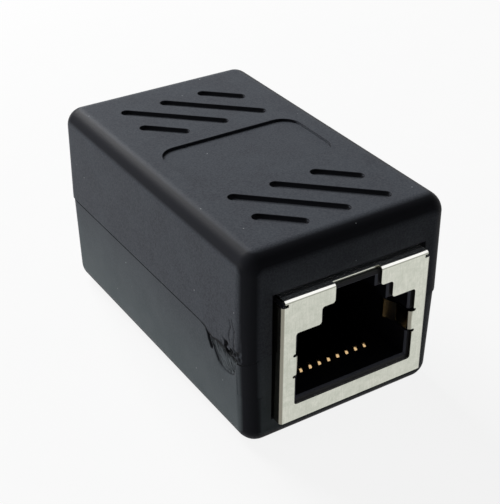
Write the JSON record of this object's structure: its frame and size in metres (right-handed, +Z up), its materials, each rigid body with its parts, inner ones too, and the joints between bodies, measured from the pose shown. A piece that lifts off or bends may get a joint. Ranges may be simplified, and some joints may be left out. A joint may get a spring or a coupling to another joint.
{
  "type": "rj45 inline coupler",
  "caption": "Black moulded block with a shielded network plug socket in each end, for joining two patch cords in line.",
  "frame": {"origin": "centre of the base, under the middle of the coupler's length", "axes": "+Z up, away from the base; +Y along the coupler from the front socket to the rear socket; +X to the right, seen from the front socket"},
  "size_m": [0.0212, 0.0372, 0.0199],
  "materials": {
    "body_pvc": "fine-grained soft PVC, moulded",
    "plated_sheet": "nickel-plated folded sheet, rolled grain",
    "housing_plastic": "smooth moulded PBT",
    "insert_plastic": "smooth moulded PBT",
    "contact_gold": "gold plating on phosphor bronze",
    "board": "solder resist on glass epoxy"
  },
  "bodies": {
    "root": {"moulded_body": "body_pvc", "circuit_board": "board", "front_jack_shield": "plated_sheet", "front_jack_housing": "housing_plastic", "front_contact_insert": "insert_plastic", "front_contact_1": "contact_gold", "front_contact_2": "contact_gold", "front_contact_3": "contact_gold", "front_contact_4": "contact_gold", "front_contact_5": "contact_gold", "front_contact_6": "contact_gold", "front_contact_7": "contact_gold", "front_contact_8": "contact_gold", "rear_jack_shield": "plated_sheet", "rear_jack_housing": "housing_plastic", "rear_contact_insert": "insert_plastic", "rear_contact_1": "contact_gold", "rear_contact_2": "contact_gold", "rear_contact_3": "contact_gold", "rear_contact_4": "contact_gold", "rear_contact_5": "contact_gold", "rear_contact_6": "contact_gold", "rear_contact_7": "contact_gold", "rear_contact_8": "contact_gold"}
  },
  "joints": []
}
